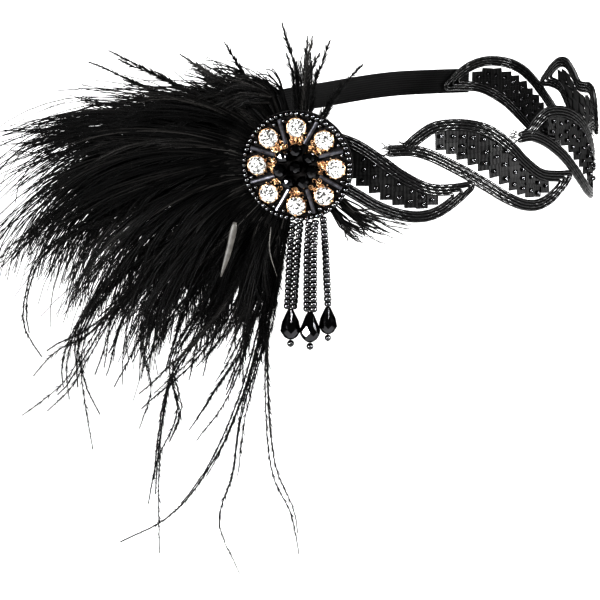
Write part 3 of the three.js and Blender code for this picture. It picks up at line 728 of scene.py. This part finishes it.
stoneCut = [(0.50, 1.0, 8, 0.5), (0.76, 0.72, 8, 0), (0.96, 0.28, 16, 0.25), (1.0, 0.1, 16, 0.25),
            (0.86, -0.5, 16, 0.25)]
roundCut = [(0.30, 0.95, 8, 0), (0.74, 0.68, 8, 0.5), (1.0, 0.16, 8, 0), (1.0, -0.16, 8, 0.5),
            (0.74, -0.68, 8, 0), (0.30, -0.95, 8, 0.5)]


def settingShape():
    r, h = brooch["setting"] / 2, brooch["settingHeight"]
    outline = [(r * 0.74, 0), (r * 0.8, 0.1), (r * 0.86, h * 0.5), (r * 0.97, h * 0.98), (r * 0.93, h),
               (r * 0.86, h * 0.9), (r * 0.5, h * 0.6), (0.01, h * 0.55)]
    return spun(outline, 28, False, 0.02)


def makeStones(dice):
    stones, cups, claws, grains = [], [], [], []
    r = brooch["setting"] / 2
    for i in range(brooch["stones"]):
        turn = i * stoneTurn
        x, y = onRing(stoneRing, turn)
        lean = math.radians(dice.uniform(-3, 3))
        stones.append(spot(x, y, broochFace + brooch["settingHeight"] + 0.02,
                           -turn + dice.uniform(-0.3, 0.3), lean))
        cups.append(spot(x, y, broochFace, -turn))
        for k in range(brooch["clawCount"]):
            a = math.radians(30 + 60 * k) + dice.uniform(-0.1, 0.1)
            foot, knee, hook = [
                np.array([x + r * share * math.cos(a), y + r * share * math.sin(a), broochFace + up])
                for share, up in brooch["claws"]]
            claws.append(openPath([foot, knee, (knee + hook) / 2 + [0, 0, 0.15], hook], 3))
        inward = math.atan2(-y, -x)
        for k in range(6):
            a = inward + math.radians(-60 + 24 * k)
            g = r * 1.06
            grains.append(spot(x + g * math.cos(a), y + g * math.sin(a), broochFace + 0.75 + 0.25 * (k % 2),
                               0, 0, 0, dice.uniform(0.6, 0.9)))
    curls = []
    for i, count in enumerate(brooch["curls"]):
        for k in range(count):
            a = i * stoneTurn + math.radians(dice.uniform(-15, 15))
            x, y = onRing(dice.uniform(*brooch["curlRing"]), a)
            middle = np.array([x, y, broochFace + dice.uniform(0.3, 1.5)])
            size = dice.uniform(0.5, 1.15)
            wind = np.linspace(0, dice.uniform(4.5, 6.6), 10) + dice.uniform(0, 6)
            ring = np.stack([np.cos(wind), np.sin(wind), 0.35 * np.sin(wind + 1)], -1)
            curls.append(middle + ring * size * np.linspace(1, dice.uniform(0.4, 0.9), 10)[:, None])
            if k % 3 == 0:
                grains.append(spot(*middle, 0, 0, 0, dice.uniform(0.4, 0.8)))
    ball = bmesh.new()
    bmesh.ops.create_icosphere(ball, subdivisions=1, radius=brooch["grain"])
    wire, _ = tubes(np.array(claws), brooch["wire"], 6, 1.0, (0.3, 0.2, 1))
    filigree, _ = tubes(np.array(curls), brooch["curlWire"], 5, 1.0, (0.3, 0.2, 1))
    nodes = [f"rhinestone_{i + 1}" for i in range(brooch["stones"])]
    for i, place in enumerate(stones):
        stone = cutShape(stoneCut, brooch["stone"] / 2, brooch["stoneHeight"], 2)
        broochPiece(f"crystal_{i + 1}", placed(stone, [place]), crystal, [nodes[i]])
    metal = joinArrays([placed(settingShape(), cups), placed(smoothAll(ball), grains), wire, filigree])
    broochPiece("gold_settings", metal, gold, nodes)


def bugleShape(length):
    shape = bmesh.new()
    bmesh.ops.create_cone(shape, cap_ends=True, segments=6, radius1=brooch["bugleRadius"],
                          radius2=brooch["bugleRadius"], depth=length)
    caps = [f for f in shape.faces if abs(f.normal.z) > 0.9]
    bmesh.ops.inset_individual(shape, faces=caps, thickness=0.42, depth=-0.5)
    edges = [e for e in shape.edges if len(e.link_faces) == 2 and e.calc_face_angle() > 0.7
             and abs(e.verts[0].co.z - e.verts[1].co.z) > length / 2]
    bmesh.ops.bevel(shape, geom=edges, offset=0.12, offset_type="OFFSET", segments=1, profile=0.5,
                    affect="EDGES", material=-1)
    return shape


def makeBugles(dice):
    places = []
    length = rimInside - bugleStart - 0.1
    middle = (bugleStart + rimInside) / 2
    for i in range(brooch["stones"]):
        turn = (i + 0.5) * stoneTurn
        skew = math.radians(dice.choice((-7, 6, 8, -5)))
        lie = math.radians(90 + dice.uniform(-2, 2))
        places.append(spot(*onRing(middle, turn), broochFace + 1.0, -turn + skew, lie)
                      @ Matrix.Rotation(dice.uniform(0, 1), 4, "Z"))
    broochPiece("bugle_beads", placed(bugleShape(length), places), hematite,
                [f"bugle_bead_{i + 1}" for i in range(8)])


def makeCentre(dice):
    places = []
    for i in range(brooch["ringCount"] + 1):
        r = 0 if i == brooch["ringCount"] else centreRing
        x, y = onRing(r, i * fullTurn / brooch["ringCount"])
        places.append(spot(x, y, broochFace + brooch["bead"] / 2,
                           dice.uniform(0, 6), dice.uniform(0.3, 1.4), dice.uniform(0, 1)))
    radius = brooch["bead"] / 2 * 0.99
    bead = cutShape(roundCut, radius, radius, 1)
    broochPiece("centre_beads", placed(bead, places), jet,
                [f"centre_bead_{i + 1}" for i in range(8)])


broochDice = random.Random(brooch["seed"])
makeBacking()
makeRim(broochDice)
makeStones(broochDice)
makeBugles(broochDice)
makeCentre(broochDice)
print("brooch made")

# A row for each tassel: the drop's place across, how far out it lies, its size, its fall, and its strings
tassel = {
    "strand": 2.3, "length": 35.2, "drop": 7.8, "dropLength": 12.3, "tip": 2.8, "clearance": 0.3,
    "rows": [(-0.098, 0, 1, 1, (-0.072, 0.064)), (0.274, 0.06, 1, 1.005, (0.222, 0.342)),
             (0.562, -0.15, 0.9, 0.985, (0.48,))],
    "beadPitch": 2.0, "bead": 3.05, "beadLength": 2.24, "lean": 9, "thread": 0.14, "knot": 0.22,
    "dropSwell": 1.06, "seed": 31,
}
dropCut = [(0.26, -0.005, 8, 0), (0.44, -0.12, 8, 0.5), (0.80, -0.40, 8, 0), (0.99, -0.60, 8, 0.5),
           (0.98, -0.72, 8, 0), (0.66, -0.90, 8, 0.5), (0.30, -0.985, 8, 0)]


def makeTassels(dice):
    stringRing = broochRadius + tassel["clearance"]
    number = 0
    for index, (drop, out, size, fall, strings) in enumerate(tassel["rows"]):
        x = drop * broochRadius
        depth = broochFace + (tassel["drop"] - tassel["strand"]) / 2 + out * broochRadius
        hook = (-broochRadius - tassel["length"]) * fall
        length = tassel["dropLength"] * size
        for i, string in enumerate(strings):
            number += 1
            spread = (i - (len(strings) - 1) / 2) * (tassel["strand"] + tassel["clearance"])
            side = string * broochRadius
            start = np.array([side, -math.sqrt(stringRing ** 2 - side ** 2), depth])
            end = np.array([x + spread, hook + tassel["clearance"], depth])
            leave = [start[0], start[1], broochFace + tassel["strand"] / 2]
            route = openPath([leave, start + (end - start) / 3, start + (end - start) * 2 / 3, end], 30)
            beads = evenly(route, tassel["beadPitch"])
            beads = (beads[1:] + beads[:-1]) / 2
            places = []
            for k, here in enumerate(beads):
                ahead = Vector(beads[min(k + 1, len(beads) - 1)] - beads[max(k - 1, 0)])
                turn = ahead.to_track_quat("Z", "Y").to_matrix().to_4x4()
                for axis in "XY":
                    lean = math.radians(dice.uniform(-tassel["lean"], tassel["lean"]))
                    turn = turn @ Matrix.Rotation(lean, 4, axis)
                places.append(Matrix.Translation(here) @ turn @ Matrix.Scale(dice.uniform(0.93, 1.05), 4))
            bead = seedBead(tassel["bead"] / 2, tassel["beadLength"], 12)
            thread, _ = tubes(route[None, ::6], tassel["thread"], 6, 1.0, (1, 0, 0))
            broochPiece(f"bead_strand_{number}", joinArrays([placed(bead, places), thread]), jet,
                        [f"tassel_strand_{number}"])
        shape = cutShape(dropCut, 1, 1, 1)
        swell = tassel["drop"] * size / 2 * tassel["dropSwell"]
        bmesh.ops.scale(shape, vec=(swell, swell, length), verts=shape.verts[:])
        place = spot(x, hook, depth, 0, -math.pi / 2) @ Matrix.Rotation(dice.uniform(0, 0.7), 4, "Z")
        broochPiece(f"cut_drop_{index + 1}", placed(shape, [place]), jet,
                    [f"drop_bead_{index + 1}"])
        ball = bmesh.new()
        bmesh.ops.create_uvsphere(ball, u_segments=24, v_segments=14, radius=tassel["tip"] * size / 2)
        tipY = hook - length - tassel["clearance"] - tassel["tip"] * size / 2
        heights = (hook - length + 0.6, tipY, tipY - tassel["tip"] * 0.54)
        knot, _ = tubes([[[x, y, depth] for y in heights]], tassel["knot"], 6, 1.0, (1, 0, 0))
        sphere = placed(smoothAll(ball), [Matrix.Translation((x, tipY, depth))])
        broochPiece(f"tip_ball_{index + 1}", joinArrays([sphere, knot]), jet,
                    [f"tip_bead_{index + 1}"])


makeTassels(random.Random(tassel["seed"]))
print("tassels made")

# Locks: the tip across, up and out in shares of the reach, the bow in degrees and the width.
# Wisps and their points are in hundredths of the reach.
plume = {
    "reach": 117.5, "rootDiameter": 25, "thickness": 18, "seed": 41,
    "locks": [
        (-0.3, 0.26, 0.04, 20, 0.1), (-0.42, 0.24, -0.14, 18, 0.11), (-0.56, 0.2, 0.1, 16, 0.11),
        (-0.76, 0.15, -0.1, 12, 0.1), (-0.94, 0.07, 0.06, 14, 0.1), (-0.97, -0.03, -0.22, 18, 0.11),
        (-0.99, -0.12, 0.02, 22, 0.12), (-0.96, -0.21, -0.16, 25, 0.12), (-0.99, -0.34, 0.1, 27, 0.12),
        (-0.98, -0.43, -0.1, 28, 0.12), (-0.9, -0.51, -0.24, 28, 0.13), (-0.8, -0.6, 0.0, 27, 0.13),
        (-0.67, -0.66, -0.14, 25, 0.13), (-0.54, -0.69, 0.02, 22, 0.12), (-0.41, -0.68, -0.18, 18, 0.12),
        (-0.28, -0.63, -0.06, 14, 0.11), (-0.16, -0.54, 0.03, 8, 0.09),
        (0.02, 0.39, 0.0, 2, 0.05), (-0.14, 0.27, -0.04, 16, 0.06), (0.26, -0.19, 0.04, 6, 0.04),
    ],
    "over": [(-0.22, 0.25, 0.1, 24, 0.1), (0.33, -0.22, -0.03, 8, 0.07), (0.22, -0.24, 0.0, 6, 0.06)],
    "under": [(-0.62, 0.04, -0.1, 14, 0.2), (-0.72, -0.14, -0.1, 20, 0.2), (-0.72, -0.34, -0.1, 26, 0.2),
              (-0.54, -0.48, -0.1, 24, 0.2), (-0.32, -0.5, -0.1, 16, 0.18)],
    "wisps": [
        (5, [(-13, -58), (-19, -81), (-31, -109), (-47, -130), (-63, -139)]),
        (0, [(-13, -61), (-21, -89), (-24, -111), (-29, -130), (-22, -148)]),
        (3, [(-11, -58), (-11, -86), (-8, -110), (-2, -122), (1, -137)]),
        (-6, [(-26, -48), (-45, -76), (-50, -101), (-52, -125), (-53, -145)]),
        (5, [(-29, -45), (-45, -72), (-42, -88), (-49, -107), (-52, -123)]),
        (4, [(-14, -47), (-22, -67), (-31, -82), (-38, -94)]),
        (-2, [(-13, -47), (-19, -66), (-27, -86), (-38, -101)]),
        (6, [(-24, -48), (-39, -68), (-54, -83)]),
        (-8, [(-21, -50), (-37, -73), (-56, -92)]),
        (-5, [(-71, -24), (-90, -36), (-97, -61), (-91, -74)]),
        (6, [(-59, -36), (-77, -58), (-83, -73), (-82, -86)]),
        (-10, [(-56, -39), (-76, -70), (-87, -86), (-103, -100)]),
        (0, [(-52, -43), (-76, -64), (-87, -70), (-95, -79)]),
        (3, [(-59, -39), (-77, -65), (-78, -83), (-75, -104)]),
        (-4, [(-61, -40), (-78, -62), (-77, -83), (-73, -94)]),
        (2, [(-38, -38), (-55, -61), (-52, -80), (-56, -95)]),
        (4, [(-38, -42), (-51, -58), (-62, -80)]),
        (-5, [(-51, -8), (-84, -21), (-107, -37)]),
        (-5, [(-45, 21), (-73, 30)]),
        (6, [(-40, 25), (-62, 36)]),
        (-6, [(-25, 24), (-41, 33)]),
        (3, [(-17, 26), (-24, 40)]),
        (2, [(-1, 30), (-5, 46)]),
        (5, [(3, 28), (5, 44)]),
        (-2, [(5, 27), (9, 41)]),
        (-6, [(12, 23), (20, 33)]),
    ],
    "narrow": 0.08, "clumps": (17, 6, 1), "narrowClumps": (7, 2, 1),  # clumps, herls in each, strays in each
    "rows": 13, "farthest": 1.12, "shorter": 0.56, "bowSpread": 8, "herlSpread": 1.8, "straySpread": 9,
    "strayOff": 2.0, "fringe": 30, "wander": 0.2, "flatten": 0.8, "tipRun": 0.1,
    "lock": {"run": 7, "radius": 0.33, "taper": 0.55, "barbs": 30, "barbLength": 2.4, "barbRadius": 0.1},
    "wisp": {"run": 3, "radius": 0.36, "taper": 0.3, "barbs": 190, "barbLength": 6.5, "barbRadius": 0.19},
    "quills": [(1.4, [(-0.202, -0.19), (-0.222, -0.28), (-0.252, -0.38)]),
               (0.25, [(-0.08, -0.2), (-0.085, -0.28), (-0.06, -0.37)])],
}


def unit(vector):
    return vector / (np.linalg.norm(vector, axis=-1, keepdims=True) + 1e-9)


def cubic(points, t):
    a, b, c, d = points
    t = t[:, None]
    return (1 - t) ** 3 * a + 3 * (1 - t) ** 2 * t * b + 3 * (1 - t) * t ** 2 * c + t ** 3 * d


rootMiddle = rootBack + brooch["rootThickness"] / 2


def rootEnd(towards):
    way = unit(np.array([towards[0], towards[1], 0.0]))
    return [way * away + [0, 0, rootMiddle] for away in (plume["rootDiameter"] * 0.2, broochRadius * 1.3)]


def turned(way, degrees):
    angle = math.radians(degrees)
    x, y, z = way
    return np.array([x * math.cos(angle) - y * math.sin(angle), x * math.sin(angle) + y * math.cos(angle), z])


def lockHerls(lock, rng):
    x, y, out, turn, width = lock
    tip = np.array([x, y, out]) * plume["reach"] + [0, 0, rootMiddle]
    start, leave = rootEnd(turned(tip, -turn * 0.8))
    side = unit(np.array([tip[1] - leave[1], leave[0] - tip[0], 0]))
    halfWidth, halfDepth = width * plume["reach"] / 2, plume["thickness"] * width / 0.28
    clumps, herls, strays = plume["narrowClumps" if width < plume["narrow"] else "clumps"]
    t = np.linspace(0, 1, plume["rows"])
    paths = []
    for clump in range(clumps):
        across = (clump + rng.uniform(0, 1)) / clumps * 2 - 1
        deep = rng.uniform(-1, 1)
        if width > plume["narrow"]:
            reach = plume["farthest"] - plume["shorter"] * rng.beta(1.0, 1.6)
        else:
            reach = rng.uniform(0.7, 1.15)
        end = leave + (tip - leave) * reach + side * across * halfWidth * 1.2
        end[2] += deep * halfDepth * 0.8
        bow = turn + rng.normal(0, plume["bowSpread"])
        for herl in range(herls + strays):
            stray = herl >= herls
            loose = rng.normal(0, 1, 3) * [1, 1, 0.8]
            share = rng.uniform(1.0, 1.08) if stray else rng.uniform(0.84, 1.02)
            away = plume["strayOff"] if stray else rng.uniform(0.1, 0.4)
            last = leave + (end - leave) * share + loose * away
            near = leave + side * (across * halfWidth * 0.3 + loose[0] * 0.9) + [0, 0, rng.uniform(-0.8, 0.8)]
            chord = last - near
            length = np.linalg.norm(chord)
            way = chord / length
            mine = bow + rng.normal(0, plume["straySpread" if stray else "herlSpread"])
            first = start + side * rng.uniform(-3.5, 3.5) + [0, 0, rng.uniform(-0.8, 0.8)]
            out1 = near + turned(way, -mine) * length * 0.36
            out2 = last - turned(way, mine * 1.2) * length * 0.36 + loose * 0.8
            out1[2] += deep * halfDepth * 0.5
            out2[2] = last[2] * 0.5 + (rootMiddle + deep * halfDepth) * 0.5
            body = cubic((near, out1, out2, last), t)
            paths.append(np.vstack([first, body]))
    return paths


def fringeLine(rng):
    x = rng.uniform(-0.66, -0.08)
    fall = rng.uniform(0.62, 0.80)
    through = [(x * 0.72, -0.36 + rng.uniform(-0.03, 0.03)), (x, -0.54),
               (x * 1.12 + rng.uniform(-0.05, 0.03), -fall)]
    return rng.uniform(-0.12, 0.1), through


def wispHerls(out, through, rng):
    points = np.array([(x, y, out * ((i + 1) / len(through)) ** 2) for i, (x, y) in enumerate(through)])
    points = points * plume["reach"] + [0, 0, rootMiddle]
    start, leave = rootEnd(points[0])
    middle = evenly(openPath(np.vstack([start, leave, points]), 16), 1.0)
    spots = np.linspace(0, 1, plume["rows"] * 2)
    middle = np.stack([np.interp(spots, np.linspace(0, 1, len(middle)), middle[:, k]) for k in range(3)], -1)
    paths = []
    for herl in range(plume["wisp"]["run"]):
        drift = rng.normal(0, 0.7, 3) * min(herl, 1)
        away = np.sin(spots * math.pi * rng.uniform(0.8, 1.6))[:, None] * drift
        short = 1 if herl == 0 else rng.uniform(0.72, 0.97)
        part = middle + away
        paths.append(np.stack([np.interp(spots * short, spots, part[:, k]) for k in range(3)], -1))
    return paths


def barbules(paths, tones, make, rng):  # a thin spike for each barb, from its herl forward and aside
    count, rows = paths.shape[:2]
    perHerl = make["barbs"]
    share = np.sort(1 - 0.7 * rng.uniform(0, 1, (count, perHerl)) ** 1.2, axis=1) * 0.998
    low = np.minimum((share * (rows - 1)).astype(int), rows - 2)
    part = (share * (rows - 1) - low)[..., None]
    index = np.arange(count)[:, None]
    base = paths[index, low] * (1 - part) + paths[index, low + 1] * part
    ahead = unit(paths[index, low + 1] - paths[index, low])
    around = rng.normal(0, 1, (count, perHerl, 3)) * [1, 1, 0.6]
    uv = np.stack([share, np.broadcast_to(tones[:, None], share.shape)], -1)
    around = unit(around - ahead * np.sum(around * ahead, axis=2, keepdims=True))
    shorten = (1.1 - 0.5 * share) * np.clip((1 - share) / plume["tipRun"], 0.25, 1)
    length = rng.uniform(0.4, 1.0, (count, perHerl, 1)) * make["barbLength"] * shorten[..., None]
    tip = base + (ahead * rng.uniform(0.8, 1.0, (count, perHerl, 1))
                  + around * rng.uniform(0.22, 0.55, (count, perHerl, 1))) * length
    a = unit(np.cross(tip - base, np.array([0.3, 0.5, 0.81])))
    b = unit(np.cross(tip - base, a))
    corners = [base + make["barbRadius"] * (a * math.cos(q) + b * math.sin(q)) for q in (0, 2.094, 4.189)]
    points = np.stack([*corners, tip], axis=2).reshape(-1, 3)
    faces = np.array([[0, 1, 3], [1, 2, 3], [2, 0, 3], [0, 2, 1]])
    loops = (faces.ravel()[None, :] + (np.arange(count * perHerl) * 4)[:, None]).ravel()
    lengths = np.full(count * perHerl * 4, 3)
    return (points, loops, lengths, np.ones(len(lengths), bool)), np.repeat(uv.reshape(-1, 2), 4, axis=0)


def featherPiece(name, paths, make, rng):
    paths = np.array(paths)
    count, rows = paths.shape[:2]
    along = np.linspace(0, 1, rows)
    # tones: random for each run of herls and each herl; the lighter tones are painted sheen streaks
    tones = np.repeat(rng.uniform(0, 1, count // make["run"] + 1), make["run"])[:count] * 0.6
    tones = tones + rng.uniform(0, 0.4, count)
    wander = np.cumsum(rng.normal(0, plume["wander"], (count, rows, 3)), axis=1) * along[None, :, None]
    paths = paths + wander * [1, 1, 0.6]
    size = make["radius"] * (1 - make["taper"] * along ** 1.6)[None, :] * rng.uniform(0.7, 1.3, (count, 1))
    spines, uv = tubes(paths, size, 3, plume["flatten"], (0, 0, 1))
    uv = np.stack([uv[:, 0], np.repeat(tones, rows * 3)], -1)
    barbs, barbUv = barbules(paths, tones, make, rng)
    mesh = joinArrays([spines, barbs])
    broochPiece(name, mesh, ostrich, ["feather_plume"], np.vstack([uv, barbUv]))
    print(name, count, "herls", int(np.sum(mesh[2] - 2)), "triangles")


def makePlume():
    rng = np.random.default_rng(plume["seed"])
    locks = plume["locks"]
    groups = {"plume_top": locks[:3] + locks[17:] + plume["over"], "plume_upper_left": locks[3:7],
              "plume_left": locks[7:10], "plume_lower_left": locks[10:14], "plume_lower": locks[14:17],
              "plume_inner": plume["under"]}
    for name, members in groups.items():
        paths = [path for lock in members for path in lockHerls(lock, rng)]
        featherPiece(name, paths, plume["lock"], rng)
    wisps = [(out / 100, [(x / 100, y / 100) for x, y in through]) for out, through in plume["wisps"]]
    wisps += [fringeLine(rng) for _ in range(plume["fringe"])]
    paths = [path for out, through in wisps for path in wispHerls(out, through, rng)]
    featherPiece("plume_wisps", paths, plume["wisp"], rng)
    shafts, shares = [], []
    for radius, points in plume["quills"]:
        middle = np.array([(x, y, 0.07) for x, y in points]) * plume["reach"] + [0, 0, rootMiddle]
        route = openPath(middle, 12)[::2]
        size = radius * np.interp(np.linspace(0, 1, len(route)), [0, 0.15, 0.7, 1], [0.5, 1, 0.8, 0.25])
        shaft, share = tubes(route[None], size[None], 10, 0.35, (0, 0, 1))
        shafts.append(shaft)
        shares.append(share)
    broochPiece("plume_quill", joinArrays(shafts), quillHorn, ["feather_plume"], np.vstack(shares))


makePlume()
print("plume made")

# Lamps: name, place, aim, size, power, spread
stage = {
    "drop": 8, "size": 8.0, "floor": 0.88, "world": 0.05, "gamma": 0.82,
    "lamps": [("key", (-1.0, -0.95, 0.16), (-0.03, -0.02, 0.03), (0.24, 0.55), 3.2, 30),
              ("fill", (1.2, -0.5, 0.2), (0.0, -0.03, 0.02), (0.22, 0.55), 2.9, 30),
              ("front", (0.35, -1.3, 0.75), (0.0, -0.03, 0.02), (0.16, 0.3), 1.0, 30),
              ("back", (0.0, 1.35, 1.5), (0.0, 1.45, 0.0), (1.8, 1.8), 38, 104)],
}


def makeStage():
    shape = bmesh.new()
    bmesh.ops.create_grid(shape, x_segments=1, y_segments=1, size=stage["size"])
    mesh = bpy.data.meshes.new("floor")
    for vertex in shape.verts:
        vertex.co.z = cadBox[0][2] - stage["drop"] * mm
    shape.to_mesh(mesh)
    shape.free()
    floor = bpy.data.objects.new("floor", mesh)
    bpy.context.scene.collection.objects.link(floor)
    mesh.materials.append(newMaterial("paleFloor", stage["floor"], 0.9)[0])
    world = bpy.data.worlds.new("studio")
    world.use_nodes = True
    sky = world.node_tree.nodes["Background"].inputs
    sky["Color"].default_value = (1, 1, 1, 1)
    sky["Strength"].default_value = stage["world"]
    bpy.context.scene.world = world
    for name, place, aim, size, power, spread in stage["lamps"]:
        lamp = bpy.data.lights.new(name, "AREA")
        lamp.shape, lamp.energy = "RECTANGLE", power
        lamp.size, lamp.size_y = size
        lamp.spread = math.radians(spread)
        holder = bpy.data.objects.new(name, lamp)
        holder.location = place
        holder.rotation_euler = (Vector(aim) - Vector(place)).to_track_quat("-Z", "Y").to_euler()
        bpy.context.scene.collection.objects.link(holder)
    bpy.context.scene.view_settings.view_transform = "Standard"
    bpy.context.scene.view_settings.gamma = stage["gamma"]


makeStage()
print("stage set")
